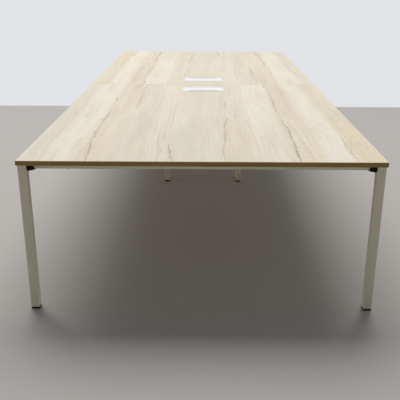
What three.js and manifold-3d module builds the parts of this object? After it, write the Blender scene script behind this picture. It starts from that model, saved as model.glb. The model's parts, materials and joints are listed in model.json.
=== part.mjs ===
// Conference table: a top in two halves on a frame of steel tube, with a hinged cable port in each half.
// Millimetres, +Z up. The origin is on the floor under the middle of the table.
// X runs across the table and Y along it. The front half lies at negative Y, and the seam at Y = 0.

import * as THREE from 'three';
import { mergeVertices } from 'three/addons/utils/BufferGeometryUtils.js';
import Module from 'manifold-3d';

const wasm = await Module();
wasm.setup();

// Overall sizes
const tableLength = 4000;
const tableWidth = 1640;
const tableHeight = 740;

// Clearances between pieces that fit together
const fitGap = 0.3;
const glueGap = 0.05;
const lidGap = 0.6;
const pinGap = 0.3;

// Top
const topThickness = 22;
const seamGap = 0.5;
const edgeBandThickness = 1;
const topCornerRadius = 3;

// Legs and feet
const legSize = 40;
const legWall = 2;
const legCornerRadius = 4;
const legInset = 6;
const footHeight = 10;
const footInset = 0.5;
const spindleRadius = 5;
const spindleLength = 36;
const insertLength = 30;

// Rails
const railHeight = 28;
const railDepth = 15;
const railWall = 1.5;
const railCornerRadius = 2;
const railCapThickness = 2;
const railCapPlugLength = 14;

// Connectors between the legs and the rails
const cheekThickness = 3;
const cheekFrontSetback = 3;
const cheekFrontDrop = 8;
const connectorReach = 5;
const connectorBelowRail = 8;
const connectorEndBelowRail = 2;
const spigotLength = 35;
const lipThickness = 3;
const lipLength = 6;

// Middle legs
const middleLegSpacing = 546;
const middleLegSeamDistance = 13;

// Link plates under the seam
const linkPlateWidth = 80;
const linkPlateRailGap = 6;
const linkPlateThickness = 4;
const linkPlateSpacing = 1000;

// Cable ports
const portWidth = 292;
const portDepth = 152;
const portSeamDistance = 138;
const portFlangeThickness = 2;
const portFlangeOverlap = 5;
const portRim = 9;
const portCornerRadius = 6;
const portCollarBelowTop = 3;
const portInnerRadius = 1;
const ledgeWidth = 6;
const ledgeThickness = 4;
const lidThickness = 5;
const cableSlotWidth = 200;
const cableSlotDepth = 15;
const cableSlotRadius = 6;
const hingePinRadius = 1;
const hingePinInLid = 7;
const hingeBoreSkin = 1;

// How far two shapes run into each other where they are joined into one solid
const joinOverlap = 1;

// Smoothness of round shapes
const cornerSegments = 2;
const curveSegments = 6;
const roundSegments = 16;

// Places worked out from the sizes above
const topUnderside = tableHeight - topThickness;
const halfLength = (tableLength - seamGap) / 2;
const halfCentre = (tableLength + seamGap) / 4;
const legInnerFace = legInset + legSize;
const railOuterFace = legInnerFace + cheekThickness;
const railInnerFace = railOuterFace + railDepth;
const railStart = railInnerFace + connectorReach;
const middleLegCentre = middleLegSeamDistance + legSize / 2;
const innerRailOuterFace = middleLegSeamDistance + legSize + cheekThickness;
const innerRailCentre = innerRailOuterFace + railDepth / 2;
const linkPlateLength = 2 * (innerRailOuterFace - linkPlateRailGap);
const connectorDrop = railHeight + connectorBelowRail;
const connectorEndDrop = railHeight + connectorEndBelowRail;
const portCentre = portSeamDistance + portDepth / 2;
const portInnerWidth = portWidth - 2 * portRim;
const portInnerDepth = portDepth - 2 * portRim;
const portCollarWidth = portWidth - 2 * portFlangeOverlap;
const portCollarDepth = portDepth - 2 * portFlangeOverlap;
const portTop = tableHeight + portFlangeThickness;
const lidBottom = portTop - lidThickness;
const hingeHeight = portTop - lidThickness / 2;
const hingeSetback = lidGap + lidThickness / 2;
const hingePinInFrame = portRim - portFlangeOverlap - hingeBoreSkin - fitGap;
const hingePinLength = lidGap + hingePinInFrame + hingePinInLid;

// Finishes
const oak = new THREE.MeshStandardMaterial({ color: '#dfd2b8', roughness: 0.55, metalness: 0 });
const brownEdge = new THREE.MeshStandardMaterial({ color: '#8a6c42', roughness: 0.5, metalness: 0 });
const palePaint = new THREE.MeshStandardMaterial({ color: '#dad6c8', roughness: 0.45, metalness: 0.1 });
const blackPaint = new THREE.MeshStandardMaterial({ color: '#17171a', roughness: 0.5, metalness: 0.1 });
const blackPlastic = new THREE.MeshStandardMaterial({ color: '#141415', roughness: 0.6, metalness: 0 });
const whitePlastic = new THREE.MeshStandardMaterial({ color: '#f1f2f3', roughness: 0.4, metalness: 0 });
const steel = new THREE.MeshStandardMaterial({ color: '#b9bcc0', roughness: 0.35, metalness: 1 });

const table = new THREE.Group();

// Adds one named piece to the table.
function addPiece(name, geometry, material, position, turn = 0) {
  const piece = new THREE.Mesh(geometry, material);
  piece.name = name;
  piece.position.set(...position);
  piece.rotation.z = turn;
  table.add(piece);
}

// Solids for cutting and joining

function toSolid(geometry) {
  const bare = geometry.index ? geometry.toNonIndexed() : geometry.clone();
  bare.deleteAttribute('normal');
  bare.deleteAttribute('uv');
  const welded = mergeVertices(bare);
  return new wasm.Manifold(new wasm.Mesh({
    numProp: 3,
    vertProperties: new Float32Array(welded.attributes.position.array),
    triVerts: new Uint32Array(welded.index.array),
  }));
}

function toGeometry(solid) {
  const mesh = solid.getMesh();
  const geometry = new THREE.BufferGeometry();
  geometry.setAttribute('position', new THREE.BufferAttribute(mesh.vertProperties, 3));
  geometry.setIndex(new THREE.BufferAttribute(mesh.triVerts, 1));
  geometry.computeVertexNormals();
  return geometry;
}

// Outlines and plain shapes

function roundedOutline(outline, width, depth, radius) {
  const x = width / 2 - radius;
  const y = depth / 2 - radius;
  const quarter = Math.PI / 2;
  outline.absarc(x, y, radius, 0, quarter);
  outline.absarc(-x, y, radius, quarter, 2 * quarter);
  outline.absarc(-x, -y, radius, 2 * quarter, 3 * quarter);
  outline.absarc(x, -y, radius, 3 * quarter, 4 * quarter);
  outline.closePath();
  return outline;
}

function roundedShape(width, depth, radius) {
  return roundedOutline(new THREE.Shape(), width, depth, radius);
}

function roundedHole(width, depth, radius) {
  return roundedOutline(new THREE.Path(), width, depth, radius);
}

function extrude(shape, height, segments = cornerSegments) {
  return new THREE.ExtrudeGeometry(shape, {
    depth: height,
    bevelEnabled: false,
    curveSegments: segments,
  });
}

// A box given by its two corners.
function boxBetween(low, high) {
  const size = low.map((value, axis) => high[axis] - value);
  const centre = low.map((value, axis) => (high[axis] + value) / 2);
  return new THREE.BoxGeometry(...size).translate(...centre);
}

// A tube standing on Z = 0, with its section centred on the axis.
function tube(width, depth, radius, wall, length) {
  const section = roundedShape(width, depth, radius);
  section.holes.push(roundedHole(width - 2 * wall, depth - 2 * wall, radius - wall));
  return extrude(section, length);
}

// A round bar along X, centred on the origin.
function barAlongX(radius, length) {
  return new THREE.CylinderGeometry(radius, radius, length, roundSegments).rotateZ(Math.PI / 2);
}

// A side profile, drawn as (Y, Z), pulled out along X and centred on X = 0.
function extrudeAlongX(profile, width) {
  const geometry = extrude(profile, width, curveSegments);
  geometry.translate(0, 0, -width / 2);
  geometry.rotateY(Math.PI / 2);
  geometry.rotateX(Math.PI / 2);
  return geometry;
}

// Top

function topPanel(side) {
  const width = tableWidth - 2 * edgeBandThickness - 2 * glueGap;
  const length = halfLength - 2 * edgeBandThickness - 2 * glueGap;
  const boardShape = roundedShape(width, length, topCornerRadius - edgeBandThickness);
  const board = toSolid(extrude(boardShape, topThickness));
  const cutWidth = portCollarWidth + 2 * fitGap;
  const cutDepth = portCollarDepth + 2 * fitGap;
  const cut = extrude(roundedShape(cutWidth, cutDepth, portCornerRadius), 3 * topThickness);
  cut.translate(0, side * (portCentre - halfCentre), -topThickness);
  return toGeometry(board.subtract(toSolid(cut)));
}

function edgeBand() {
  const ring = roundedShape(tableWidth, halfLength, topCornerRadius);
  const innerWidth = tableWidth - 2 * edgeBandThickness;
  const innerLength = halfLength - 2 * edgeBandThickness;
  ring.holes.push(roundedHole(innerWidth, innerLength, topCornerRadius - edgeBandThickness));
  return extrude(ring, topThickness);
}

// Legs and feet

function leg() {
  return tube(legSize, legSize, legCornerRadius, legWall, topUnderside - footHeight);
}

function legInsert() {
  const size = legSize - 2 * legWall - 2 * fitGap;
  const plug = extrude(roundedShape(size, size, legCornerRadius - legWall), insertLength);
  const bore = new THREE.CylinderGeometry(
    spindleRadius + fitGap, spindleRadius + fitGap, 3 * insertLength, roundSegments);
  bore.rotateX(Math.PI / 2);
  return toGeometry(toSolid(plug).subtract(toSolid(bore)));
}

function foot() {
  const size = legSize - 2 * footInset;
  const pad = extrude(roundedShape(size, size, legCornerRadius - footInset), footHeight - fitGap);
  const spindle = new THREE.CylinderGeometry(spindleRadius, spindleRadius, spindleLength, roundSegments);
  spindle.rotateX(Math.PI / 2);
  spindle.translate(0, 0, footHeight / 2 + spindleLength / 2);
  return toGeometry(toSolid(pad).add(toSolid(spindle)));
}

// One leg with its insert and foot, on the floor at the given place.
function addLeg(name, x, y) {
  addPiece(`${name}_leg`, leg(), palePaint, [x, y, footHeight]);
  addPiece(`${name}_leg_insert`, legInsert(), blackPlastic, [x, y, footHeight]);
  addPiece(`${name}_foot`, foot(), blackPlastic, [x, y, 0]);
}

// Rails

function railAlongX(length) {
  const rail = tube(railHeight, railDepth, railCornerRadius, railWall, length);
  return rail.translate(0, 0, -length / 2).rotateY(Math.PI / 2);
}

function railAlongY(length) {
  return railAlongX(length).rotateZ(Math.PI / 2);
}

// The cap's plate stands on the rail's end and its plug points along -Y.
function railCap() {
  const plate = extrude(roundedShape(railDepth, railHeight, railCornerRadius), railCapThickness);
  const plugWidth = railDepth - 2 * railWall - 2 * fitGap;
  const plugHeight = railHeight - 2 * railWall - 2 * fitGap;
  const plug = extrude(roundedShape(plugWidth, plugHeight, railCornerRadius - railWall), railCapPlugLength);
  plug.translate(0, 0, joinOverlap - railCapPlugLength);
  return toGeometry(toSolid(plate).add(toSolid(plug))).rotateX(-Math.PI / 2);
}

// Corner connector
// Drawn for the corner at low X and low Y, with the corner of the top at the origin and the underside
// of the top at Z = 0. It is the same along both edges, so it is turned to fit the other corners.

// What is cut from the cheek that lies on the leg's face towards +X: the space outside a quarter ellipse
// that rounds its lower front corner.
function cheekCutter() {
  const start = legInset;
  const reach = railOuterFace - start;
  const fall = connectorDrop - cheekFrontDrop;
  const profile = new THREE.Shape();
  profile.moveTo(start, -cheekFrontDrop);
  profile.absellipse(railOuterFace, -cheekFrontDrop, reach, fall, Math.PI, 1.5 * Math.PI);
  profile.lineTo(railOuterFace, -2 * connectorDrop);
  profile.lineTo(start, -2 * connectorDrop);
  profile.closePath();
  const cutter = extrudeAlongX(profile, 2 * cheekThickness);
  return toSolid(cutter.translate(legInnerFace + cheekThickness / 2, 0, 0));
}

// The sloping space under the block, which is deepest at the leg and shallower at the rails.
function slopeCutter() {
  const near = railOuterFace * Math.SQRT2;
  const far = railStart * Math.SQRT2;
  const profile = new THREE.Shape();
  profile.moveTo(near, -connectorDrop);
  profile.lineTo(far, -connectorEndDrop);
  profile.lineTo(far, -2 * connectorDrop);
  profile.lineTo(near, -2 * connectorDrop);
  profile.closePath();
  const cutter = extrudeAlongX(profile, 4 * railDepth);
  return toSolid(cutter.rotateZ(-Math.PI / 4));
}

// Turns a solid about the corner's diagonal, so that X and Y change places.
function acrossDiagonal(solid) {
  return solid.mirror([1, -1, 0]);
}

function cornerConnector() {
  const start = legInset + cheekFrontSetback;
  const near = legInnerFace + fitGap;
  const wall = railWall + fitGap;
  const end = railStart - fitGap;

  const cheek = toSolid(boxBetween([near, start, -connectorDrop], [railOuterFace, railOuterFace, -fitGap]));
  const block = toSolid(boxBetween([near, near, -connectorDrop], [end, end, -fitGap]));
  const spigot = toSolid(boxBetween(
    [end - joinOverlap, railOuterFace + wall, -railHeight + wall],
    [railStart + spigotLength, railInnerFace - wall, -wall]));
  const lip = toSolid(boxBetween(
    [end - joinOverlap, railOuterFace, -railHeight - fitGap - lipThickness],
    [railStart + lipLength, railInnerFace - fitGap, -railHeight - fitGap]));
  const arm = cheek.subtract(cheekCutter()).add(spigot).add(lip);
  return toGeometry(block.subtract(slopeCutter()).add(arm).add(acrossDiagonal(arm)));
}

// Bracket of a middle leg, drawn with the leg's face at Y = 0, the rail towards +Y and the underside of
// the top at Z = 0.
function middleBracket() {
  const near = fitGap;
  const far = cheekThickness - fitGap;
  const under = -railHeight - fitGap;
  const profile = new THREE.Shape();
  profile.moveTo(near, -fitGap);
  profile.lineTo(near, -connectorDrop);
  profile.lineTo(cheekThickness + railDepth, under - lipThickness);
  profile.lineTo(cheekThickness + railDepth, under);
  profile.lineTo(far, under);
  profile.lineTo(far, -fitGap);
  profile.closePath();
  return extrudeAlongX(profile, legSize);
}

// Cable port
// Drawn with its middle at the origin, the table's face at Z = tableHeight and the hinge towards -Y.

const hingeY = -portInnerDepth / 2 + hingeSetback;

function hingeBores(radius) {
  const length = 2 * (portInnerWidth / 2 + hingePinInFrame + fitGap);
  return toSolid(barAlongX(radius, length).translate(0, hingeY, hingeHeight));
}

function portFrame() {
  const flangeShape = roundedShape(portWidth, portDepth, portCornerRadius);
  const collarShape = roundedShape(portCollarWidth, portCollarDepth, portCornerRadius);
  const collarHeight = topThickness + portCollarBelowTop;
  const collarBottom = tableHeight - collarHeight;
  const flange = extrude(flangeShape, portFlangeThickness).translate(0, 0, tableHeight);
  const collar = extrude(collarShape, collarHeight + joinOverlap).translate(0, 0, collarBottom);
  const well = extrude(roundedShape(portInnerWidth, portInnerDepth, portInnerRadius), 3 * collarHeight);
  well.translate(0, 0, collarBottom - collarHeight);
  let frame = toSolid(flange).add(toSolid(collar)).subtract(toSolid(well));

  const ledgeTop = lidBottom - fitGap;
  for (const side of [-1, 1]) {
    const outer = side * (portInnerWidth / 2 + joinOverlap);
    const inner = side * (portInnerWidth / 2 - ledgeWidth);
    const ledge = boxBetween(
      [Math.min(outer, inner), -portInnerDepth / 2 - joinOverlap, ledgeTop - ledgeThickness],
      [Math.max(outer, inner), portInnerDepth / 2 + joinOverlap, ledgeTop]);
    frame = frame.add(toSolid(ledge));
  }
  return toGeometry(frame.subtract(hingeBores(hingePinRadius + pinGap)));
}

function portLid() {
  const front = portInnerDepth / 2 - lidGap;
  const radius = lidThickness / 2;
  const profile = new THREE.Shape();
  profile.moveTo(front, lidBottom);
  profile.lineTo(front, portTop);
  profile.lineTo(hingeY, portTop);
  profile.absarc(hingeY, hingeHeight, radius, Math.PI / 2, 1.5 * Math.PI);
  profile.closePath();
  const plate = extrudeAlongX(profile, portInnerWidth - 2 * lidGap);
  const slotShape = roundedShape(cableSlotWidth, 2 * cableSlotDepth, cableSlotRadius);
  const slot = extrude(slotShape, 3 * lidThickness).translate(0, front, lidBottom - lidThickness);
  return toGeometry(toSolid(plate).subtract(toSolid(slot)).subtract(hingeBores(hingePinRadius + pinGap)));
}

function hingePin() {
  return barAlongX(hingePinRadius, hingePinLength);
}

// Assembly of one half of the table

const sideNames = { left: -1, right: 1 };

function addTop(half, end) {
  addPiece(`${half}_top_panel`, topPanel(end), oak, [0, end * halfCentre, topUnderside]);
  addPiece(`${half}_edge_band`, edgeBand(), brownEdge, [0, end * halfCentre, topUnderside]);
}

function addFrame(half, end) {
  const railHeightCentre = topUnderside - railHeight / 2;
  const endRailLength = tableWidth - 2 * railStart;
  const endRailY = end * (tableLength / 2 - railOuterFace - railDepth / 2);
  addPiece(`${half}_end_rail`, railAlongX(endRailLength), palePaint, [0, endRailY, railHeightCentre]);

  const sideRailX = tableWidth / 2 - railOuterFace - railDepth / 2;
  const innerRailLength = 2 * sideRailX - railDepth;
  addPiece(`${half}_inner_rail`, railAlongX(innerRailLength), palePaint,
    [0, end * innerRailCentre, railHeightCentre]);

  const sideRailLength = tableLength / 2 - railStart - innerRailOuterFace;
  const sideRailY = end * (innerRailOuterFace + sideRailLength / 2);
  for (const [name, side] of Object.entries(sideNames)) {
    const x = side * sideRailX;
    addPiece(`${half}_${name}_side_rail`, railAlongY(sideRailLength), palePaint,
      [x, sideRailY, railHeightCentre]);
    addPiece(`${half}_${name}_rail_cap`, railCap(), blackPlastic,
      [x, end * innerRailOuterFace, railHeightCentre], end < 0 ? 0 : Math.PI);
  }
}

function addCornerLegs(half, end) {
  const legX = tableWidth / 2 - legInset - legSize / 2;
  const legY = tableLength / 2 - legInset - legSize / 2;
  for (const [name, side] of Object.entries(sideNames)) {
    addLeg(`${half}_${name}_corner`, side * legX, end * legY);
    const turn = Math.atan2(-end, -side) - Math.PI / 4;
    addPiece(`${half}_${name}_corner_connector`, cornerConnector(), blackPaint,
      [side * tableWidth / 2, end * tableLength / 2, topUnderside], turn);
  }
}

function addMiddleLegs(half, end) {
  for (const [name, side] of Object.entries(sideNames)) {
    const x = side * middleLegSpacing / 2;
    addLeg(`${half}_${name}_middle`, x, end * middleLegCentre);
    addPiece(`${half}_${name}_middle_bracket`, middleBracket(), blackPaint,
      [x, end * (middleLegSeamDistance + legSize), topUnderside], end < 0 ? Math.PI : 0);
  }
}

function addPort(half, end) {
  const turn = end < 0 ? Math.PI : 0;
  const y = end * portCentre;
  addPiece(`${half}_port_frame`, portFrame(), whitePlastic, [0, y, 0], turn);
  addPiece(`${half}_port_lid`, portLid(), whitePlastic, [0, y, 0], turn);
  const pinX = portInnerWidth / 2 + hingePinInFrame - hingePinLength / 2;
  for (const [name, side] of Object.entries(sideNames)) {
    addPiece(`${half}_${name}_hinge_pin`, hingePin(), steel, [side * pinX, y + end * hingeY, hingeHeight]);
  }
}

function addLinkPlates() {
  const plate = extrude(roundedShape(linkPlateWidth, linkPlateLength, topCornerRadius), linkPlateThickness);
  const z = topUnderside - fitGap - linkPlateThickness;
  for (const [name, side] of Object.entries(sideNames)) {
    addPiece(`${name}_link_plate`, plate, steel, [side * linkPlateSpacing / 2, 0, z]);
  }
}

for (const [half, end] of [['front', -1], ['rear', 1]]) {
  addTop(half, end);
  addFrame(half, end);
  addCornerLegs(half, end);
  addMiddleLegs(half, end);
  addPort(half, end);
}
addLinkPlates();

export default table;
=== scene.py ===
"""Looks of a conference table: an oak-look top in two halves on a slim painted tube frame.

Metres, +Z up. The camera stands at the front end and looks along +Y. Both halves of the top are the same
board, and the rear one is turned end for end, so the decor is drawn once, for the front half.
"""

import json
import math
from collections import namedtuple

import bmesh
import bpy
from mathutils import Euler, Matrix, Vector

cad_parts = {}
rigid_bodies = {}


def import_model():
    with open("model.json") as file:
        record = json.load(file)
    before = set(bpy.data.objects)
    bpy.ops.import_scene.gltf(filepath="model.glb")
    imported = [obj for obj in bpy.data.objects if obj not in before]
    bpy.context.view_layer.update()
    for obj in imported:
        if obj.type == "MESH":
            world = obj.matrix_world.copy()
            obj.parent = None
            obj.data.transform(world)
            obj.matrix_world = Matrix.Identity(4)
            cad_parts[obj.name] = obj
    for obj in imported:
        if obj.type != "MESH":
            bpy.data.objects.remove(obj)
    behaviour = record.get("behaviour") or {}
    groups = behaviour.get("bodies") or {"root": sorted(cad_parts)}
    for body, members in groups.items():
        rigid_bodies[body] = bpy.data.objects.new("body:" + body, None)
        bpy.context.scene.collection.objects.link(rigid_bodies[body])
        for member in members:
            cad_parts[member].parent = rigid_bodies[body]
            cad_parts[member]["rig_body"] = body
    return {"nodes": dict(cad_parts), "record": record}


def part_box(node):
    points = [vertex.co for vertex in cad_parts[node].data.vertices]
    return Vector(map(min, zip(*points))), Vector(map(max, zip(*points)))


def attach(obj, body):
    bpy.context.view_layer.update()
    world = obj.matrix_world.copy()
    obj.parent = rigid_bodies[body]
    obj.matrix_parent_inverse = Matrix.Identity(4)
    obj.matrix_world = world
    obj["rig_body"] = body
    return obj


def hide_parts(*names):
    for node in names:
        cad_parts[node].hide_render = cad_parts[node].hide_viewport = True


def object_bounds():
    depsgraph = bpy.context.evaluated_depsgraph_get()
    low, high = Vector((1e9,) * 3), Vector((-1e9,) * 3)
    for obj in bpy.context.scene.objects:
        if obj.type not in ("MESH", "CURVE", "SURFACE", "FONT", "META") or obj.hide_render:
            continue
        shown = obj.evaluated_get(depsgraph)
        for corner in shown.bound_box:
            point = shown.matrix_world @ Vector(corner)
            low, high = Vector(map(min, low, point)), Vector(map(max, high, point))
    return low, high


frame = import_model()
cad_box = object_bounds()
nodes = frame["nodes"]

# Camera, fitted to the outline of the top and the near legs. Angles are in radians
IMAGE_PIXELS = 400
FOCAL_PIXELS = 620.2
SENSOR_WIDTH_MM = 36.0
CAMERA_PLACE = (0.0105, -4.6030, 1.5183)
CAMERA_PITCH_DOWN = 0.35198
CAMERA_TURN_LEFT = 0.00662
CAMERA_ROLL = 0.00313

# Stage and lights
FLOOR_HALF_WIDTH = 14.0
FLOOR_NEAR_END = -14.0
FLOOR_FAR_END = 2.8
FLOOR_COLOUR = (0.46, 0.435, 0.41)
FLOOR_ROUGHNESS = 0.75
BACKDROP_COLOUR = (0.76, 0.77, 0.80)
AMBIENT_LEVEL = 0.215
SOFTBOX_SIZE = (12.0, 8.0)
SOFTBOX_PLACE = (-1.2, 4.5, 12.0)
SOFTBOX_TILT = 1.0
SOFTBOX_WATTS = 1910.0
SIDE_FILL_SIZE = (6.0, 3.0)
SIDE_FILL_PLACE = (13.0, -1.0, 2.2)
SIDE_FILL_WATTS = 135.0

# Colours of the oak decor
CREAM = (0.813, 0.757, 0.623)
PALE = (0.778, 0.716, 0.579)
BEIGE = (0.735, 0.672, 0.538)
STONE = (0.708, 0.654, 0.531)
ROSE = (0.735, 0.640, 0.495)
TAN = (0.778, 0.665, 0.468)
HONEY = (0.760, 0.669, 0.506)
LIGHT_GRAIN = (0.850, 0.798, 0.664)
DARK_GRAIN = (0.540, 0.464, 0.340)
CRACK_COLOUR = (0.16, 0.130, 0.095)
KNOT_COLOUR = (0.36, 0.250, 0.150)

# Colours of the other finishes
EDGE_DARK = (0.23, 0.134, 0.028)
EDGE_LIGHT = (0.39, 0.238, 0.060)
PAINT_COLOUR = (0.79, 0.755, 0.575)
SCUFF_COLOUR = (0.42, 0.40, 0.36)
BLACK_COLOUR = (0.008, 0.008, 0.0075)
WHITE_COLOUR = (0.90, 0.905, 0.92)
STEEL_COLOUR = (0.55, 0.56, 0.57)

# Tubes and castings of the frame
LEG_WALL = 0.002
LEG_CORNER_RADIUS = 0.004
RAIL_WALL = 0.0015
RAIL_CORNER_RADIUS = 0.002
TUBE_RIM = 0.0003
CHEEK_THICKNESS = 0.003
CONNECTOR_REACH = 0.005
CONNECTOR_BELOW_RAIL = 0.008
CONNECTOR_END_BELOW_RAIL = 0.002
LIP_BELOW_RAIL = 0.0033
CASTING_ARRIS = 0.0005
CASTING_ARRIS_STEPS = 2

# Feet
FOOT_PAD_HEIGHT = 0.0097
FOOT_CORNER_RADIUS = 0.0035
FOOT_ARRIS = 0.0012
SPINDLE_RADIUS = 0.005
THREAD_PITCH = 0.0015
THREAD_DEPTH = 0.0008
THREAD_SIDES = 20
THREAD_RINGS_PER_TURN = 6

# Edge band
BAND_THICKNESS = 0.001
BAND_ARRIS = 0.0009
BAND_CORNER_RADIUS = 0.003

# Cable ports
PORT_RIM = 0.009
PORT_OVERLAP = 0.005
PORT_CORNER_RADIUS = 0.006
PORT_INNER_RADIUS = 0.001
PORT_ARRIS = 0.0017
PORT_INNER_ARRIS = 0.0004
LEDGE_WIDTH = 0.006
LEDGE_TOP_BELOW_LID = 0.0003
LEDGE_THICKNESS = 0.004
LEDGE_ARRIS = 0.0002
LEDGE_CORNER_RADIUS = 0.0004
LID_ARRIS = 0.0008
LID_ROUND_STEPS = 10
SLOT_WIDTH = 0.200
SLOT_DEPTH = 0.015
SLOT_RADIUS = 0.006
SLOT_DRAFT = 0.0002
SLOT_CORNER_STEPS = 6

# Screws. The rings of a head and its hexagon socket are radius and height, in screw radii
SCREW_RADIUS = 0.0045
SMALL_SCREW_RADIUS = 0.0030
SCREW_SIDES = 24
SCREW_HEAD = [(1.0, 0.0), (1.0, 0.25), (0.88, 0.55), (0.62, 0.72)]
SCREW_SOCKET = [(0.52, 0.72), (0.48, 0.66), (0.48, 0.25)]
SCREW_SOCKET_BOTTOM = (0.08, 0.16)
RAIL_SCREW_SPACING = 0.6
RAIL_SCREW_MARGIN = 0.15
BRACKET_SCREW_OFFSET = 0.012
PLATE_SCREW_OFFSET = (0.026, 0.032)

# Smoothness of the pieces
CORNER_STEPS = 6
LEAST_RADIUS = 0.0002
WELD_DISTANCE = 0.00001
ROUND_BEVEL = 0.5
SHARP_ANGLE = math.radians(35)
FLAT_ANGLE = math.radians(1)

# How far in the middle of a rounded arris lies, as a share of the arris
ARRIS_MIDDLE = 0.3

HALVES = {"front": -1, "rear": 1}
SIDES = {"left": -1, "right": 1}
UP = Vector((0.0, 0.0, 1.0))
DOWN = -UP

# Places read from the model
panel_low, panel_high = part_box("front_top_panel")
rail_low, rail_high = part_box("front_end_rail")
leg_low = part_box("front_right_corner_leg")[0]
rail_height = rail_high.z - rail_low.z
rail_depth = rail_high.y - rail_low.y
leg_inner_face = cad_box[1][0] - leg_low.x
connector_drop = rail_height + CONNECTOR_BELOW_RAIL
connector_end_drop = rail_height + CONNECTOR_END_BELOW_RAIL
lip_drop = rail_height + LIP_BELOW_RAIL


# Helpers for building node trees

# A noise: its cells per metre along X, Y and Z, its detail and its roughness
Pattern = namedtuple("Pattern", "cells detail roughness")

# A colour laid over another: its noise, the levels where it starts and where it is full, and its strength
Layer = namedtuple("Layer", "pattern starts full strength colour")

# A line that wanders to either side: its noise, and how far it goes
Course = namedtuple("Course", "pattern reach")

# Levels between which nearly all of a noise lies
NOISE_RANGE = (0.25, 0.75)

# Sockets of a colour mix node, by number because their names repeat
MIX_FACTOR = 0
MIX_FIRST = 6
MIX_SECOND = 7
MIX_RESULT = 2

# Scale that turns a position end for end about the upright axis
END_FOR_END = (-1.0, -1.0, 1.0)


def new_material(name):
    material = bpy.data.materials.new(name)
    material.use_nodes = True
    tree = material.node_tree
    shader = tree.nodes["Principled BSDF"]
    return material, tree, shader


def add_node(tree, kind, **settings):
    made = tree.nodes.new(kind)
    for name, value in settings.items():
        setattr(made, name, value)
    return made


def feed(tree, socket, value):
    """Links value to socket if it is a socket itself, and otherwise sets it."""
    if isinstance(value, bpy.types.NodeSocket):
        tree.links.new(value, socket)
    elif isinstance(value, tuple) and len(value) == 3 and socket.type == "RGBA":
        socket.default_value = (*value, 1.0)
    else:
        socket.default_value = value


def math_node(tree, operation, first, second=0.0):
    made = add_node(tree, "ShaderNodeMath", operation=operation)
    feed(tree, made.inputs[0], first)
    feed(tree, made.inputs[1], second)
    return made.outputs[0]


def chain(tree, operation, values):
    """Values joined one after another by the same operation."""
    joined = values[0]
    for value in values[1:]:
        joined = math_node(tree, operation, joined, value)
    return joined


def total(tree, *values):
    return chain(tree, "ADD", values)


def product(tree, *values):
    return chain(tree, "MULTIPLY", values)


def largest(tree, values):
    return chain(tree, "MAXIMUM", values)


def distance(tree, first, second):
    return math_node(tree, "ABSOLUTE", math_node(tree, "SUBTRACT", first, second))


def from_middle(tree, value, middle, half_size):
    """How far value lies from the middle, in half sizes."""
    return math_node(tree, "DIVIDE", math_node(tree, "SUBTRACT", value, middle), half_size)


def remap(tree, value, from_low, from_high, to_low=0.0, to_high=1.0, smooth=True):
    made = add_node(tree, "ShaderNodeMapRange", clamp=True)
    made.interpolation_type = "SMOOTHSTEP" if smooth else "LINEAR"
    feed(tree, made.inputs["Value"], value)
    made.inputs["From Min"].default_value = from_low
    made.inputs["From Max"].default_value = from_high
    made.inputs["To Min"].default_value = to_low
    made.inputs["To Max"].default_value = to_high
    return made.outputs["Result"]


def mix_colour(tree, factor, first, second):
    made = add_node(tree, "ShaderNodeMix", data_type="RGBA")
    feed(tree, made.inputs[MIX_FACTOR], factor)
    feed(tree, made.inputs[MIX_FIRST], first)
    feed(tree, made.inputs[MIX_SECOND], second)
    return made.outputs[MIX_RESULT]


def stretched(tree, position, scale):
    made = add_node(tree, "ShaderNodeVectorMath", operation="MULTIPLY")
    feed(tree, made.inputs[0], position)
    made.inputs[1].default_value = scale
    return made.outputs[0]


def noise(tree, position, pattern):
    made = add_node(tree, "ShaderNodeTexNoise")
    feed(tree, made.inputs["Vector"], stretched(tree, position, pattern.cells))
    made.inputs["Scale"].default_value = 1.0
    made.inputs["Detail"].default_value = pattern.detail
    made.inputs["Roughness"].default_value = pattern.roughness
    return made.outputs["Fac"]


def add_layer(tree, position, colour, layer, where=1.0):
    """The colour with a layer over it. where makes the layer weaker in places."""
    level = noise(tree, position, layer.pattern)
    shown = remap(tree, level, layer.starts, layer.full, 0.0, layer.strength)
    return mix_colour(tree, product(tree, shown, where), colour, layer.colour)


def wander(tree, position, course):
    """How far to either side a course lies."""
    level = noise(tree, position, course.pattern)
    return remap(tree, level, *NOISE_RANGE, -course.reach, course.reach, smooth=False)


def bump(tree, shader, height, depth, strength):
    made = add_node(tree, "ShaderNodeBump")
    made.inputs["Strength"].default_value = strength
    made.inputs["Distance"].default_value = depth
    feed(tree, made.inputs["Height"], height)
    tree.links.new(made.outputs["Normal"], shader.inputs["Normal"])


def object_position(tree, turned=False):
    coordinates = add_node(tree, "ShaderNodeTexCoord").outputs["Object"]
    if not turned:
        return coordinates
    return stretched(tree, coordinates, END_FOR_END)


def axes(tree, position):
    parts = add_node(tree, "ShaderNodeSeparateXYZ")
    tree.links.new(position, parts.inputs[0])
    return parts.outputs


def even(cells):
    return (cells, cells, cells)


def darker(colour, share):
    return tuple(channel * share for channel in colour)


# Oak decor of the front half

# Strips along the board: each strip's far edge across the table, and its tones at the near and the far end
STRIPS = [
    (-0.72, STONE, BEIGE),
    (-0.56, CREAM, CREAM),
    (-0.40, ROSE, ROSE),
    (-0.25, BEIGE, BEIGE),
    (-0.17, PALE, PALE),
    (0.12, STONE, BEIGE),
    (0.265, ROSE, BEIGE),
    (0.43, PALE, CREAM),
    (0.575, HONEY, ROSE),
    (0.69, CREAM, CREAM),
    (0.82, TAN, HONEY),
]
STRIP_BLUR = 0.028
TONE_CHANGE_RANGE = (-1.5, -0.9)
TONE_CHANGE_COURSE = Course(Pattern((9.0, 1.3, 1.0), 3.0, 0.60), 0.5)

# Grain is never quite straight, so strips and layers sway slowly across the board
SWAY = Course(Pattern((3.0, 0.9, 1.0), 3.0, 0.50), 0.035)

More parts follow.
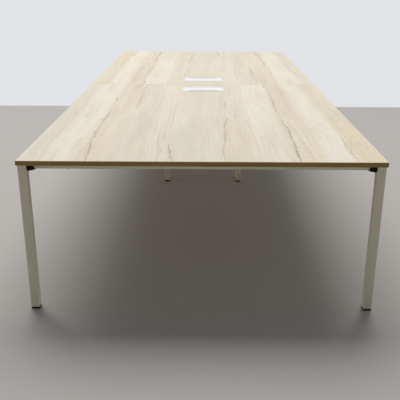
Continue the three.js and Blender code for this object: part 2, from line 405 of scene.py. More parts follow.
# Layers from hand-wide patches to fine pores. The streaks are strong in lively places and weak elsewhere
CLOUDS = Pattern((10.0, 1.3, 1.0), 3.0, 0.55)
BROAD_LAYERS = [
    Layer(Pattern((11.0, 2.1, 1.0), 3.0, 0.60), 0.53, 0.72, 0.42, TAN),
    Layer(Pattern((13.0, 1.7, 1.0), 3.0, 0.60), 0.53, 0.70, 0.60, STONE),
    Layer(CLOUDS, 0.50, 0.78, 0.52, LIGHT_GRAIN),
    Layer(CLOUDS, 0.50, 0.22, 0.42, DARK_GRAIN),
]
STREAKS = Pattern((52.0, 0.9, 1.0), 4.0, 0.60)
STREAK_LAYERS = [
    Layer(STREAKS, 0.50, 0.78, 0.45, LIGHT_GRAIN),
    Layer(STREAKS, 0.50, 0.24, 0.45, DARK_GRAIN),
    Layer(Pattern((240.0, 2.0, 1.0), 3.0, 0.60), 0.52, 0.74, 0.70, DARK_GRAIN),
]
LIVELY = Pattern((6.0, 1.0, 1.0), 2.0, 0.50)
LIVELY_RANGE = (0.38, 0.62)
LIVELY_LEAST = 0.25
SAW_MARKS = Layer(Pattern((15.0, 110.0, 1.0), 3.0, 0.60), 0.58, 0.78, 0.70, DARK_GRAIN)
PORES = Layer(Pattern((700.0, 14.0, 1.0), 3.0, 0.60), 0.56, 0.74, 0.30, DARK_GRAIN)

# Long cracks: x and y at the near end, x and y at the far end, half width, darkness
CRACKS = [
    (-0.51, -2.03, -0.545, -1.62, 0.0030, 0.75),
    (-0.545, -1.68, -0.555, -1.26, 0.0026, 0.70),
    (-0.555, -1.32, -0.54, -0.90, 0.0028, 0.60),
    (-0.40, -0.90, -0.40, -0.34, 0.0030, 0.50),
    (-0.13, -2.06, -0.165, -1.66, 0.0034, 0.80),
    (0.10, -2.02, 0.108, -1.60, 0.0018, 0.50),
    (0.106, -1.72, 0.122, -1.34, 0.0030, 0.70),
    (0.122, -1.40, 0.132, -1.08, 0.0028, 0.65),
    (0.132, -0.94, 0.132, -0.60, 0.0032, 0.55),
    (0.43, -2.04, 0.446, -1.60, 0.0038, 0.85),
    (0.446, -1.68, 0.45, -1.22, 0.0034, 0.80),
    (0.43, -1.00, 0.455, -0.48, 0.0034, 0.60),
    (0.69, -1.99, 0.70, -1.56, 0.0030, 0.60),
    (-0.19, -1.56, -0.19, -0.46, 0.0018, 0.30),
]
MAIN_STRAND = Course(Pattern((2.5, 4.0, 1.0), 5.0, 0.55), 0.014)
THIN_STRAND = Course(Pattern((3.1, 5.5, 1.0), 4.0, 0.55), 0.020)
KINKS = Course(Pattern((30.0, 30.0, 1.0), 3.0, 0.60), 0.0022)
CRACK_LEAST_WIDTH = 0.0002
RAGGED = Pattern((90.0, 24.0, 1.0), 4.0, 0.70)
RAGGED_RANGE = (0.36, 0.58)
RAGGED_LEAST = 0.15

# Where the strands and the shade fade out, in half widths of the crack, and their share of its darkness
MAIN_FADE = (0.5, 0.95)
THIN_FADE = (0.25, 0.60)
THIN_DARKNESS = 0.7
SHADE_FADE = (0.6, 5.0)
SHADE_DARKNESS = 0.40

# Small knots: x, y, half width, half length, darkness
KNOTS = [
    (-0.56, -0.58, 0.010, 0.045, 0.60),
    (0.44, -0.09, 0.010, 0.060, 0.70),
    (-0.19, -1.58, 0.009, 0.045, 0.30),
    (0.445, -1.20, 0.008, 0.030, 0.40),
    (0.44, -0.94, 0.007, 0.030, 0.50),
    (0.22, -1.05, 0.014, 0.020, 0.20),
]

# Pointed grain figures: x of the middle, half width, y of the near end, y of the far end
FIGURES = [
    (-0.19, 0.035, -2.00, -1.15),
    (0.76, 0.070, -2.00, -0.30),
    (-0.77, 0.060, -1.60, -0.20),
    (0.50, 0.050, -1.50, -0.90),
]
FIGURE_LINES_PER_METRE = 3.2
FIGURE_BOW = 3.5
FIGURE_UNEVENNESS = 70.0
FIGURE_LINE_START = 0.1
FIGURE_SIDE_FADE = 0.6
FIGURE_END_FADE = 0.15
FIGURE_STRENGTH = 0.28

OAK_GLOSS = 0.25
OAK_ROUGHNESS_RANGE = (0.3, 0.8)
OAK_ROUGHNESS = (0.46, 0.62)
OAK_RELIEF = 0.0004
OAK_RELIEF_STRENGTH = 0.5
PORE_HEIGHT = -0.4
CRACK_HEIGHT = -1.5


def tone_ramp(tree, across, strips):
    """The tones of strips across the table, with soft edges. A strip has its far edge and its tone."""
    half_span = STRIPS[-1][0]
    edge = -half_span
    stops = []
    for far_edge, tone in strips:
        stops.append((edge + STRIP_BLUR, tone))
        stops.append((far_edge - STRIP_BLUR, tone))
        edge = far_edge
    ramp = add_node(tree, "ShaderNodeValToRGB")
    ramp.color_ramp.interpolation = "EASE"
    elements = ramp.color_ramp.elements
    while len(elements) < len(stops):
        elements.new(1.0)
    for element, (place, tone) in zip(elements, stops):
        element.position = (place + half_span) / (2 * half_span)
        element.color = (*tone, 1.0)
    feed(tree, ramp.inputs["Fac"], remap(tree, across, -half_span, half_span, smooth=False))
    return ramp.outputs["Color"]


def swayed(tree, position):
    """The position with the sway of the grain."""
    sway = add_node(tree, "ShaderNodeCombineXYZ")
    feed(tree, sway.inputs["X"], wander(tree, position, SWAY))
    moved = add_node(tree, "ShaderNodeVectorMath", operation="ADD")
    feed(tree, moved.inputs[0], position)
    feed(tree, moved.inputs[1], sway.outputs[0])
    return moved.outputs[0]


def strip_colour(tree, position):
    """Strips across the board that change tone along it."""
    place = axes(tree, position)
    near_strips = [(far_edge, near_tone) for far_edge, near_tone, far_tone in STRIPS]
    far_strips = [(far_edge, far_tone) for far_edge, near_tone, far_tone in STRIPS]
    near_tones = tone_ramp(tree, place["X"], near_strips)
    far_tones = tone_ramp(tree, place["X"], far_strips)
    along = total(tree, place["Y"], wander(tree, position, TONE_CHANGE_COURSE))
    return mix_colour(tree, remap(tree, along, *TONE_CHANGE_RANGE), near_tones, far_tones)


def oak_grain(tree, position):
    """The strips with patches, clouds, streaks and fine lines along the board, and saw marks across it."""
    colour = strip_colour(tree, position)
    for layer in BROAD_LAYERS:
        colour = add_layer(tree, position, colour, layer)
    lively = remap(tree, noise(tree, position, LIVELY), *LIVELY_RANGE, LIVELY_LEAST, 1.0)
    for layer in STREAK_LAYERS:
        colour = add_layer(tree, position, colour, layer, lively)
    return add_layer(tree, position, colour, SAW_MARKS)


def figure_mask(tree, x, y, course, figure):
    """Nested pointed lines along one stretch of the board."""
    centre, half_width, near_y, far_y = figure
    offset = from_middle(tree, x, centre, half_width)
    run = total(tree, product(tree, y, FIGURE_LINES_PER_METRE), product(tree, course, FIGURE_UNEVENNESS))
    turns = total(tree, run, product(tree, offset, offset, FIGURE_BOW))
    wave = math_node(tree, "SINE", product(tree, turns, 2 * math.pi))
    line = remap(tree, wave, FIGURE_LINE_START, 1.0)
    inside = remap(tree, math_node(tree, "ABSOLUTE", offset), FIGURE_SIDE_FADE, 1.0, 1.0, 0.0)
    started = remap(tree, y, near_y - FIGURE_END_FADE, near_y + FIGURE_END_FADE)
    ended = remap(tree, y, far_y - FIGURE_END_FADE, far_y + FIGURE_END_FADE, 1.0, 0.0)
    return product(tree, line, inside, started, ended)


def knot_mask(tree, x, y, knot):
    knot_x, knot_y, half_width, half_length, darkness = knot
    across = from_middle(tree, x, knot_x, half_width)
    along = from_middle(tree, y, knot_y, half_length)
    away = total(tree, product(tree, across, across), product(tree, along, along))
    return remap(tree, away, 0.0, 1.0, darkness, 0.0)


def crack_masks(tree, x, y, courses, crack):
    """The crack's two strands, and the soft shade beside the main one. The crack tapers to both ends."""
    near_x, near_y, far_x, far_y, half_width, darkness = crack
    along = remap(tree, y, near_y, far_y, smooth=False)
    centre = total(tree, product(tree, along, far_x - near_x), near_x)
    offset = math_node(tree, "SUBTRACT", x, centre)
    taper = math_node(tree, "SINE", product(tree, along, math.pi))
    width = total(tree, product(tree, taper, half_width), CRACK_LEAST_WIDTH)
    main, thin = [math_node(tree, "DIVIDE", distance(tree, offset, course), width) for course in courses]
    main_line = remap(tree, main, *MAIN_FADE, darkness, 0.0)
    thin_line = remap(tree, thin, *THIN_FADE, THIN_DARKNESS * darkness, 0.0)
    shade = remap(tree, main, *SHADE_FADE, SHADE_DARKNESS * darkness, 0.0)
    return largest(tree, [main_line, thin_line]), shade


def all_cracks(tree, position, x, y, main_course):
    """The ragged lines of all the cracks, and their shades."""
    kinks = wander(tree, position, KINKS)
    thin_course = wander(tree, position, THIN_STRAND)
    courses = [total(tree, main_course, kinks), total(tree, thin_course, kinks)]
    masks = [crack_masks(tree, x, y, courses, crack) for crack in CRACKS]
    lines = largest(tree, [line for line, shade in masks])
    shades = largest(tree, [shade for line, shade in masks])
    ragged = remap(tree, noise(tree, position, RAGGED), *RAGGED_RANGE, RAGGED_LEAST, 1.0)
    return product(tree, lines, ragged), shades


def oak_material(name, turned):
    material, tree, shader = new_material(name)
    position = object_position(tree, turned)
    place = axes(tree, position)
    x = place["X"]
    y = place["Y"]
    course = wander(tree, position, MAIN_STRAND)

    colour = oak_grain(tree, swayed(tree, position))
    figures = largest(tree, [figure_mask(tree, x, y, course, figure) for figure in FIGURES])
    colour = mix_colour(tree, product(tree, figures, FIGURE_STRENGTH), colour, DARK_GRAIN)
    colour = add_layer(tree, position, colour, PORES)
    lines, shades = all_cracks(tree, position, x, y, course)
    knots = largest(tree, [knot_mask(tree, x, y, knot) for knot in KNOTS])
    colour = mix_colour(tree, shades, colour, DARK_GRAIN)
    colour = mix_colour(tree, knots, colour, KNOT_COLOUR)
    colour = mix_colour(tree, lines, colour, CRACK_COLOUR)
    feed(tree, shader.inputs["Base Color"], colour)

    pores = noise(tree, position, PORES.pattern)
    feed(tree, shader.inputs["Roughness"], remap(tree, pores, *OAK_ROUGHNESS_RANGE, *OAK_ROUGHNESS))
    shader.inputs["Specular IOR Level"].default_value = OAK_GLOSS
    height = total(tree, product(tree, pores, PORE_HEIGHT), product(tree, lines, CRACK_HEIGHT))
    bump(tree, shader, height, OAK_RELIEF, OAK_RELIEF_STRENGTH)
    return material


# Other finishes

# Levels over which one noise, and a mix of two, go from one end of a finish's range to the other
ONE_RANGE = (0.3, 0.7)
MIX_RANGE = (0.35, 0.65)
MIX_SHARES = (0.6, 0.4)
RELIEF_STRENGTH = 0.5

EDGE_STREAKS = Pattern((6.0, 6.0, 420.0), 4.0, 0.60)
EDGE_STRIPES = Pattern((3.0, 3.0, 90.0), 3.0, 0.55)
EDGE_ROUGHNESS = (0.42, 0.55)
EDGE_RELIEF = 0.0002
EDGE_RELIEF_STRENGTH = 0.4

PAINT_CLOUDS = Pattern((6.0, 6.0, 2.5), 4.0, 0.55)
PAINT_DARK_SHARE = 0.95
PAINT_ROUGHNESS = (0.36, 0.46)
ORANGE_PEEL = Pattern(even(650.0), 2.0, 0.55)
ORANGE_PEEL_RELIEF = 0.00012
SCUFFS = Pattern((60.0, 60.0, 140.0), 5.0, 0.65)
SCUFF_RANGE = (0.56, 0.72)
SCUFF_HEIGHTS = (0.02, 0.16)
SCUFF_STRENGTH = 0.45

MOULD_CLOUDS = Pattern(even(9.0), 4.0, 0.55)
MOULD_GRAIN_DETAIL = 3.0
MOULD_GRAIN_ROUGHNESS = 0.60
MOULD_ROUGHNESS_SPREAD = 0.07
MOULD_RELIEF = 0.0001

BRUSHED = Pattern((1500.0, 60.0, 1500.0), 3.0, 0.60)
BLOTCHES = Pattern(even(60.0), 4.0, 0.55)
STEEL_DARK_SHARE = 0.75
STEEL_ROUGHNESS = (0.28, 0.42)
STEEL_RELIEF = 0.00005


def mixed_noise(tree, first, second):
    first_share, second_share = MIX_SHARES
    return total(tree, product(tree, first, first_share), product(tree, second, second_share))


def edge_material():
    """Brown edging with streaks that run along the edge."""
    material, tree, shader = new_material("edge_band")
    position = object_position(tree)
    streaks = noise(tree, position, EDGE_STREAKS)
    mixed = mixed_noise(tree, streaks, noise(tree, position, EDGE_STRIPES))
    colour = mix_colour(tree, remap(tree, mixed, *MIX_RANGE), EDGE_DARK, EDGE_LIGHT)
    feed(tree, shader.inputs["Base Color"], colour)
    feed(tree, shader.inputs["Roughness"], remap(tree, streaks, *ONE_RANGE, *EDGE_ROUGHNESS))
    bump(tree, shader, streaks, EDGE_RELIEF, EDGE_RELIEF_STRENGTH)
    return material


def paint_material():
    """Powder coat: an orange-peel relief, slow changes of tone, and scuffs near the floor."""
    material, tree, shader = new_material("frame_paint")
    position = object_position(tree)
    clouds = remap(tree, noise(tree, position, PAINT_CLOUDS), *ONE_RANGE)
    colour = mix_colour(tree, clouds, darker(PAINT_COLOUR, PAINT_DARK_SHARE), PAINT_COLOUR)
    scuffs = remap(tree, noise(tree, position, SCUFFS), *SCUFF_RANGE)
    near_floor = remap(tree, axes(tree, position)["Z"], *SCUFF_HEIGHTS, SCUFF_STRENGTH, 0.0)
    colour = mix_colour(tree, product(tree, scuffs, near_floor), colour, SCUFF_COLOUR)
    feed(tree, shader.inputs["Base Color"], colour)
    peel = noise(tree, position, ORANGE_PEEL)
    feed(tree, shader.inputs["Roughness"], remap(tree, peel, *ONE_RANGE, *PAINT_ROUGHNESS))
    bump(tree, shader, peel, ORANGE_PEEL_RELIEF, RELIEF_STRENGTH)
    return material


def moulded_material(name, colour, dark_share, roughness, gloss, grain):
    """Moulded or coated black or white: a fine grain in the relief and the gloss, and slow changes of tone.
    grain is the grain's cells per metre."""
    material, tree, shader = new_material(name)
    position = object_position(tree)
    fine = noise(tree, position, Pattern(even(grain), MOULD_GRAIN_DETAIL, MOULD_GRAIN_ROUGHNESS))
    mixed = mixed_noise(tree, noise(tree, position, MOULD_CLOUDS), fine)
    tones = mix_colour(tree, remap(tree, mixed, *MIX_RANGE), darker(colour, dark_share), colour)
    feed(tree, shader.inputs["Base Color"], tones)
    smoothest = roughness - MOULD_ROUGHNESS_SPREAD
    roughest = roughness + MOULD_ROUGHNESS_SPREAD
    feed(tree, shader.inputs["Roughness"], remap(tree, fine, *ONE_RANGE, smoothest, roughest))
    shader.inputs["Specular IOR Level"].default_value = gloss
    bump(tree, shader, fine, MOULD_RELIEF, RELIEF_STRENGTH)
    return material


def steel_material():
    """Bright zinc-plated steel with a fine brushed grain."""
    material, tree, shader = new_material("steel")
    position = object_position(tree)
    blotches = remap(tree, noise(tree, position, BLOTCHES), *ONE_RANGE)
    colour = mix_colour(tree, blotches, darker(STEEL_COLOUR, STEEL_DARK_SHARE), STEEL_COLOUR)
    feed(tree, shader.inputs["Base Color"], colour)
    brushed = noise(tree, position, BRUSHED)
    feed(tree, shader.inputs["Roughness"], remap(tree, brushed, *ONE_RANGE, *STEEL_ROUGHNESS))
    shader.inputs["Metallic"].default_value = 1.0
    bump(tree, shader, brushed, STEEL_RELIEF, RELIEF_STRENGTH)
    return material


finishes = {
    "edge_band": edge_material(),
    "frame_paint": paint_material(),
    "black_casting": moulded_material(
        "black_casting", BLACK_COLOUR, dark_share=0.7, roughness=0.46, gloss=0.18, grain=800.0),
    "black_plastic": moulded_material(
        "black_plastic", BLACK_COLOUR, dark_share=0.7, roughness=0.56, gloss=0.18, grain=1200.0),
    "white_plastic": moulded_material(
        "white_plastic", WHITE_COLOUR, dark_share=0.96, roughness=0.36, gloss=0.4, grain=1500.0),
    "steel": steel_material(),
}
oak_finishes = {
    "front_top_panel": oak_material("oak_front", turned=False),
    "rear_top_panel": oak_material("oak_rear", turned=True),
}
slots = {part["node"]: part["material_slot"] for part in frame["record"]["subparts"]}

for name, piece in nodes.items():
    piece.data.materials.clear()
    piece.data.materials.append(oak_finishes.get(name) or finishes[slots[name]])


# Mesh helpers

# A node's lowest and highest corner, its size and its middle
Place = namedtuple("Place", "low high size middle")


def node_place(node):
    low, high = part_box(node)
    return Place(low, high, high - low, (low + high) / 2)


def section(width, depth, radius):
    """Points round a rounded rectangle about the origin."""
    points = []
    for quarter, (side_x, side_y) in enumerate(((1, 1), (-1, 1), (-1, -1), (1, -1))):
        for step in range(CORNER_STEPS + 1):
            angle = (quarter + step / CORNER_STEPS) * math.pi / 2
            x = side_x * (width / 2 - radius) + radius * math.cos(angle)
            y = side_y * (depth / 2 - radius) + radius * math.sin(angle)
            points.append((x, y))
    return points


def loft(shape, rings, closed):
    """Faces from each ring to the next. A closed loft joins the last to the first, an open one is capped."""
    loops = [[shape.verts.new(point) for point in ring] for ring in rings]
    pairs = list(zip(loops, loops[1:]))
    if closed:
        pairs.append((loops[-1], loops[0]))
    else:
        shape.faces.new(loops[0])
        shape.faces.new(loops[-1])
    for lower, upper in pairs:
        for index in range(len(lower)):
            after = (index + 1) % len(lower)
            shape.faces.new((lower[index], lower[after], upper[after], upper[index]))


def stack(shape, width, depth, corner, profile, closed):
    """Rounded rectangles stacked along Z. The profile gives how far in from the outline each lies, and its
    height. corner gives the corner radius for a distance in."""
    rings = []
    for inset, height in profile:
        outline = section(width - 2 * inset, depth - 2 * inset, corner(inset))
        rings.append([(x, y, height) for x, y in outline])
    loft(shape, rings, closed)


def plain_corner(radius):
    return lambda inset: max(radius - inset, LEAST_RADIUS)


def lower_arris(low, arris):
    """Profile points of a rounded lower arris, from the underside out to the side."""
    middle = arris * ARRIS_MIDDLE
    return [(arris, low), (middle, low + middle), (0.0, low + arris)]


def upper_arris(high, arris):
    """Profile points of a rounded upper arris, from the side in to the top."""
    middle = arris * ARRIS_MIDDLE
    return [(0.0, high - arris), (middle, high - middle), (arris, high)]


def tube_profile(wall, low, high):
    """Up the outside, over the top rim, down the inside and round the bottom rim."""
    return [
        (0.0, low + TUBE_RIM),
        (0.0, high - TUBE_RIM),
        (TUBE_RIM, high),
        (wall - TUBE_RIM, high),
        (wall, high - TUBE_RIM),
        (wall, low + TUBE_RIM),
        (wall - TUBE_RIM, low),
        (TUBE_RIM, low),
    ]


def shift(shape, x, y, z):
    bmesh.ops.translate(shape, verts=shape.verts, vec=(x, y, z))


def join(shape, other):
    """Adds the faces of another mesh, and frees that one."""
    carrier = bpy.data.meshes.new("carrier")
    other.to_mesh(carrier)
    other.free()
    shape.from_mesh(carrier)
    bpy.data.meshes.remove(carrier)


def add_piece(name, shape, body, slot):
    bmesh.ops.recalc_face_normals(shape, faces=shape.faces)
    mesh = bpy.data.meshes.new(name)
    shape.to_mesh(mesh)
    shape.free()
    mesh.polygons.foreach_set("use_smooth", [True] * len(mesh.polygons))
    mesh.set_sharp_from_angle(angle=SHARP_ANGLE)
    mesh.materials.append(finishes[slot])
    piece = bpy.data.objects.new(name, mesh)
    bpy.context.scene.collection.objects.link(piece)
    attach(piece, body)
    return piece


def replace_node(node, shape):
    piece = add_piece(f"{node}_fine", shape, nodes[node]["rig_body"], slots[node])
    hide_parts(node)


# Tubes of the frame, the edge bands and the castings


def fine_leg(node):
    place = node_place(node)
    profile = tube_profile(LEG_WALL, place.low.z, place.high.z)
    shape = bmesh.new()
    stack(shape, place.size.x, place.size.y, plain_corner(LEG_CORNER_RADIUS), profile, closed=True)
    shift(shape, place.middle.x, place.middle.y, 0.0)
    replace_node(node, shape)


def fine_rail(node):
    place = node_place(node)
    size = place.size
    half_length = max(size.x, size.y) / 2
    depth = min(size.x, size.y)
    profile = tube_profile(RAIL_WALL, -half_length, half_length)
    shape = bmesh.new()
    stack(shape, size.z, depth, plain_corner(RAIL_CORNER_RADIUS), profile, closed=True)
    turn = Matrix.Rotation(math.pi / 2, 3, "Y")
    if size.y > size.x:
        turn = Matrix.Rotation(math.pi / 2, 3, "Z") @ turn
    bmesh.ops.rotate(shape, verts=shape.verts, matrix=turn)
    shift(shape, *place.middle)
    replace_node(node, shape)


def fine_edge_band(node):
    place = node_place(node)
    low = place.low.z
    high = place.high.z
    inside = [(BAND_THICKNESS, high), (BAND_THICKNESS, low)]
    profile = lower_arris(low, BAND_ARRIS) + upper_arris(high, BAND_ARRIS) + inside
    shape = bmesh.new()
    stack(shape, place.size.x, place.size.y, plain_corner(BAND_CORNER_RADIUS), profile, closed=True)
    shift(shape, place.middle.x, place.middle.y, 0.0)
    replace_node(node, shape)


def fine_casting(node):
    """The node's own shape with its sharp edges rounded."""
    shape = bmesh.new()
    shape.from_mesh(nodes[node].data)
    bmesh.ops.remove_doubles(shape, verts=shape.verts, dist=WELD_DISTANCE)
    bmesh.ops.dissolve_limit(shape, angle_limit=FLAT_ANGLE, verts=shape.verts, edges=shape.edges)
    edges = [edge for edge in shape.edges if edge.is_manifold and edge.calc_face_angle() > SHARP_ANGLE]
    bmesh.ops.bevel(
        shape,
        geom=edges,
        offset=CASTING_ARRIS,
        offset_type="OFFSET",
        segments=CASTING_ARRIS_STEPS,
        profile=ROUND_BEVEL,
        affect="EDGES",
        clamp_overlap=True,
    )
    replace_node(node, shape)


# Feet


def add_thread(shape, x, y, low, high):
    """A screw thread from low to high, as rings whose radius follows the turn of the thread."""
    count = int((high - low) / THREAD_PITCH * THREAD_RINGS_PER_TURN)
    rings = []
    for index in range(count + 1):
        z = low + (high - low) * index / count
        ring = []
        for side in range(THREAD_SIDES):
            share = side / THREAD_SIDES
            phase = ((z - low) / THREAD_PITCH - share) % 1.0
            radius = SPINDLE_RADIUS - THREAD_DEPTH * abs(2 * phase - 1)
            angle = 2 * math.pi * share
            ring.append((x + radius * math.cos(angle), y + radius * math.sin(angle), z))
        rings.append(ring)
    loft(shape, rings, closed=False)


def fine_foot(node):
    place = node_place(node)
    x = place.middle.x
    y = place.middle.y
    pad_top = place.low.z + FOOT_PAD_HEIGHT
    profile = lower_arris(place.low.z, FOOT_ARRIS) + upper_arris(pad_top, FOOT_ARRIS)
    shape = bmesh.new()
    stack(shape, place.size.x, place.size.y, plain_corner(FOOT_CORNER_RADIUS), profile, closed=False)
    shift(shape, x, y, 0.0)
    add_thread(shape, x, y, pad_top - FOOT_ARRIS, place.high.z)
    replace_node(node, shape)


# Cable ports


def port_corner(inset):
    return PORT_CORNER_RADIUS if inset <= PORT_OVERLAP else PORT_INNER_RADIUS


def add_ledge(shape, x, length, top):
    """A ledge on the inside of a port frame, which carries one end of the lid."""
    profile = [(0.0, top - LEDGE_THICKNESS), (0.0, top - LEDGE_ARRIS), (LEDGE_ARRIS, top)]
    ledge = bmesh.new()
    stack(ledge, LEDGE_WIDTH, length, plain_corner(LEDGE_CORNER_RADIUS), profile, closed=False)
    shift(ledge, x, 0.0, 0.0)
    join(shape, ledge)


def fine_port_frame(node, lid_node):
    place = node_place(node)
    low = place.low.z
    high = place.high.z
    table_face = panel_high.z
    profile = [
        (0.0, table_face),
        *upper_arris(high, PORT_ARRIS),
        (PORT_RIM - PORT_INNER_ARRIS, high),
        (PORT_RIM, high - PORT_INNER_ARRIS),
        (PORT_RIM, low),
        (PORT_OVERLAP, low),
        (PORT_OVERLAP, table_face),
    ]
    shape = bmesh.new()
    stack(shape, place.size.x, place.size.y, port_corner, profile, closed=True)
    ledge_x = place.size.x / 2 - PORT_RIM - LEDGE_WIDTH / 2
    ledge_top = node_place(lid_node).low.z - LEDGE_TOP_BELOW_LID
    for side in SIDES.values():
        add_ledge(shape, side * ledge_x, place.size.y - 2 * PORT_RIM, ledge_top)
    shift(shape, place.middle.x, place.middle.y, 0.0)
    replace_node(node, shape)


def lid_section(thickness, front, inset):
    """The lid cut across its hinge: distances from the hinge edge, and heights. The hinge edge is round."""
    middle = thickness / 2
    radius = middle - inset
    points = []
    for step in range(LID_ROUND_STEPS + 1):
        angle = math.pi * (0.5 + step / LID_ROUND_STEPS)
        points.append((middle + radius * math.cos(angle), middle + radius * math.sin(angle)))
    low = inset
    high = thickness - inset
    end = front - inset
    points.append((end - LID_ARRIS, low))
    points.append((end, low + LID_ARRIS))
    points.append((end, high - LID_ARRIS))
    points.append((end - LID_ARRIS, high))
    return points


def lid_stations(half_width, depth):
    """From the middle of the lid to one end: the place across, the distance from the hinge edge to the front
    edge, and how far the section is drawn in."""
    slot_back = depth - SLOT_DEPTH
    slot_end = SLOT_WIDTH / 2
    stations = []
    for step in range(SLOT_CORNER_STEPS + 1):
        angle = step / SLOT_CORNER_STEPS * math.pi / 2
        x = slot_end - SLOT_RADIUS + SLOT_RADIUS * math.sin(angle)
        front = slot_back + SLOT_RADIUS * (1 - math.cos(angle))
        stations.append((x, front, 0.0))
    stations.append((slot_end + SLOT_DRAFT, depth - LID_ARRIS, 0.0))
    stations.append((slot_end + LID_ARRIS, depth, 0.0))
    stations.append((half_width - LID_ARRIS, depth, 0.0))
    stations.append((half_width, depth, LID_ARRIS))
    return stations


def fine_port_lid(node, end):
    place = node_place(node)
    half = lid_stations(place.size.x / 2, place.size.y)
    stations = [(-x, front, inset) for x, front, inset in reversed(half)] + half
    hinge_edge = place.low.y if end > 0 else place.high.y
    rings = []
    for across, front, inset in stations:
        x = place.middle.x + across
        outline = lid_section(place.size.z, front, inset)
        rings.append([(x, hinge_edge + end * along, place.low.z + height) for along, height in outline])
    shape = bmesh.new()
    loft(shape, rings, closed=False)
    replace_node(node, shape)


# Screws under the table


def screw_ring(radius, height, hexagon):
    """Points round a circle, or as many on a hexagon whose corners lie on that circle."""
    sixth = math.pi / 3
    ring = []
    for side in range(SCREW_SIDES):
        angle = 2 * math.pi * side / SCREW_SIDES
        reach = radius
        if hexagon:
            reach *= math.cos(sixth / 2) / math.cos(angle % sixth - sixth / 2)
        ring.append(Vector((reach * math.cos(angle), reach * math.sin(angle), height)))
    return ring


def add_screw(shape, place, axis, radius):
    """A button head with a hexagon socket. It sits at place and stands out along axis."""
    rings = [screw_ring(share * radius, height * radius, hexagon=False) for share, height in SCREW_HEAD]
    rings += [screw_ring(share * radius, height * radius, hexagon=True) for share, height in SCREW_SOCKET]
    share, height = SCREW_SOCKET_BOTTOM
    rings.append(screw_ring(share * radius, height * radius, hexagon=False))
    turn = UP.rotation_difference(Vector(axis)).to_matrix()
    loft(shape, [[Vector(place) + turn @ point for point in ring] for ring in rings], closed=False)


def add_rail_screws(shape, node):
    rail = node_place(node)
    along = 0 if rail.size.x > rail.size.y else 1
    run = rail.size[along] - 2 * RAIL_SCREW_MARGIN
    gaps = max(1, round(run / RAIL_SCREW_SPACING))
    for index in range(gaps + 1):
        place = Vector((rail.middle.x, rail.middle.y, rail.low.z))
        place[along] = rail.low[along] + RAIL_SCREW_MARGIN + run * index / gaps
        add_screw(shape, place, DOWN, SCREW_RADIUS)


def add_bracket_screws(shape, node, end):
    """Two screws in the sloping underside of a middle leg's bracket."""
    bracket = node_place(node)
    fall = connector_drop - lip_drop
    slope = math.atan2(fall, bracket.size.y)
    axis = (0.0, end * math.sin(slope), -math.cos(slope))
    for side in SIDES.values():
        x = bracket.middle.x + side * BRACKET_SCREW_OFFSET
        add_screw(shape, (x, bracket.middle.y, bracket.low.z + fall / 2), axis, SMALL_SCREW_RADIUS)


def add_connector_screw(shape, side, end):
    """One screw in the sloping underside of a corner connector."""
    corner = Vector((side * cad_box[1][0], end * cad_box[1][1], panel_low.z))
    near = leg_inner_face + CHEEK_THICKNESS
    far = near + rail_depth + CONNECTOR_REACH
    diagonal = math.sqrt(2)
    slope = math.atan2(connector_drop - connector_end_drop, (far - near) * diagonal)
    inwards = Vector((-side, -end, 0.0)) / diagonal
    drop = (connector_drop + connector_end_drop) / 2
    place = corner + inwards * (near + far) / 2 * diagonal + DOWN * drop
    axis = inwards * math.sin(slope) + DOWN * math.cos(slope)
    add_screw(shape, place, axis, SMALL_SCREW_RADIUS)


def add_plate_screws(shape, node):
    plate = node_place(node)
    offset_x, offset_y = PLATE_SCREW_OFFSET
    for side_x in SIDES.values():
        for side_y in SIDES.values():
            x = plate.middle.x + side_x * offset_x
            y = plate.middle.y + side_y * offset_y
            add_screw(shape, (x, y, plate.low.z), DOWN, SCREW_RADIUS)


# Assembly of the fine pieces

for half, end in HALVES.items():
    screws = bmesh.new()
    fine_edge_band(f"{half}_edge_band")
    for rail in ("end_rail", "inner_rail", "left_side_rail", "right_side_rail"):
        fine_rail(f"{half}_{rail}")
        add_rail_screws(screws, f"{half}_{rail}")
    for name, side in SIDES.items():
        for place in ("corner", "middle"):
            fine_leg(f"{half}_{name}_{place}_leg")
            fine_foot(f"{half}_{name}_{place}_foot")
        fine_casting(f"{half}_{name}_corner_connector")
        fine_casting(f"{half}_{name}_middle_bracket")
        fine_casting(f"{half}_{name}_rail_cap")
        add_connector_screw(screws, side, end)
        add_bracket_screws(screws, f"{half}_{name}_middle_bracket", end)
    add_piece(f"{half}_frame_screws", screws, "table", "steel")
    fine_port_frame(f"{half}_port_frame", f"{half}_port_lid")
    fine_port_lid(f"{half}_port_lid", end)

plate_screws = bmesh.new()
for name in SIDES:
    fine_casting(f"{name}_link_plate")
    add_plate_screws(plate_screws, f"{name}_link_plate")
add_piece("link_plate_screws", plate_screws, "table", "steel")


# Stage, light and camera


def add_floor():
    mesh = bpy.data.meshes.new("floor")
    near_left = (-FLOOR_HALF_WIDTH, FLOOR_NEAR_END, 0.0)
    near_right = (FLOOR_HALF_WIDTH, FLOOR_NEAR_END, 0.0)
    far_right = (FLOOR_HALF_WIDTH, FLOOR_FAR_END, 0.0)
    far_left = (-FLOOR_HALF_WIDTH, FLOOR_FAR_END, 0.0)
    mesh.from_pydata([near_left, near_right, far_right, far_left], [], [(0, 1, 2, 3)])
    floor = bpy.data.objects.new("floor", mesh)
    bpy.context.scene.collection.objects.link(floor)
    material, tree, shader = new_material("floor")
    shader.inputs["Base Color"].default_value = (*FLOOR_COLOUR, 1.0)
    shader.inputs["Roughness"].default_value = FLOOR_ROUGHNESS
    mesh.materials.append(material)


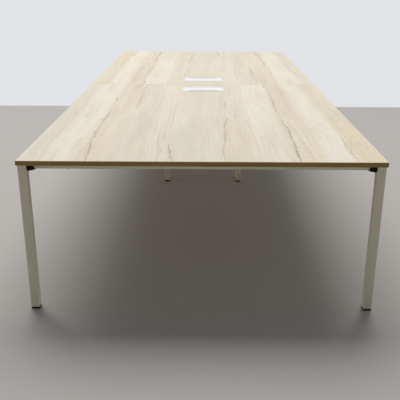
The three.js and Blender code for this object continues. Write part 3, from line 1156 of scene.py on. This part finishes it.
def add_world():
    """Pale to the camera and in reflections, and a low even fill light for the rest."""
    world = bpy.data.worlds.new("studio")
    bpy.context.scene.world = world
    world.use_nodes = True
    tree = world.node_tree
    background = tree.nodes["Background"]
    background.inputs["Color"].default_value = (*BACKDROP_COLOUR, 1.0)
    rays = add_node(tree, "ShaderNodeLightPath").outputs
    kinds = ("Is Camera Ray", "Is Glossy Ray", "Is Transmission Ray")
    seen = largest(tree, [rays[kind] for kind in kinds])
    strength = remap(tree, seen, 0.0, 1.0, AMBIENT_LEVEL, 1.0, smooth=False)
    feed(tree, background.inputs["Strength"], strength)


def add_light(name, size, watts, place, turn):
    lamp = bpy.data.lights.new(name, "AREA")
    lamp.shape = "RECTANGLE"
    lamp.size, lamp.size_y = size
    lamp.energy = watts
    light = bpy.data.objects.new(name, lamp)
    light.location = place
    light.rotation_euler = turn
    light.visible_camera = False
    bpy.context.scene.collection.objects.link(light)


def add_lights():
    """A large softbox above and behind the table, and a weak light on each side for the inner leg faces."""
    add_light("softbox", SOFTBOX_SIZE, SOFTBOX_WATTS, SOFTBOX_PLACE, (-SOFTBOX_TILT, 0.0, 0.0))
    across, along, height = SIDE_FILL_PLACE
    for name, side in SIDES.items():
        turn = (math.pi / 2, 0.0, side * math.pi / 2)
        add_light(f"{name}_fill", SIDE_FILL_SIZE, SIDE_FILL_WATTS, (side * across, along, height), turn)


def add_camera():
    lens = bpy.data.cameras.new("camera")
    lens.sensor_width = SENSOR_WIDTH_MM
    lens.lens = FOCAL_PIXELS / IMAGE_PIXELS * SENSOR_WIDTH_MM
    camera = bpy.data.objects.new("camera", lens)
    camera.location = CAMERA_PLACE
    turn = Euler((0.0, 0.0, CAMERA_TURN_LEFT)).to_matrix()
    tilt = Euler((math.pi / 2 - CAMERA_PITCH_DOWN, 0.0, 0.0)).to_matrix()
    roll = Euler((0.0, 0.0, CAMERA_ROLL)).to_matrix()
    camera.rotation_euler = (turn @ tilt @ roll).to_euler()
    bpy.context.scene.collection.objects.link(camera)
    bpy.context.scene.camera = camera


add_floor()
add_world()
add_lights()
add_camera()
bpy.context.scene.view_settings.view_transform = "Standard"
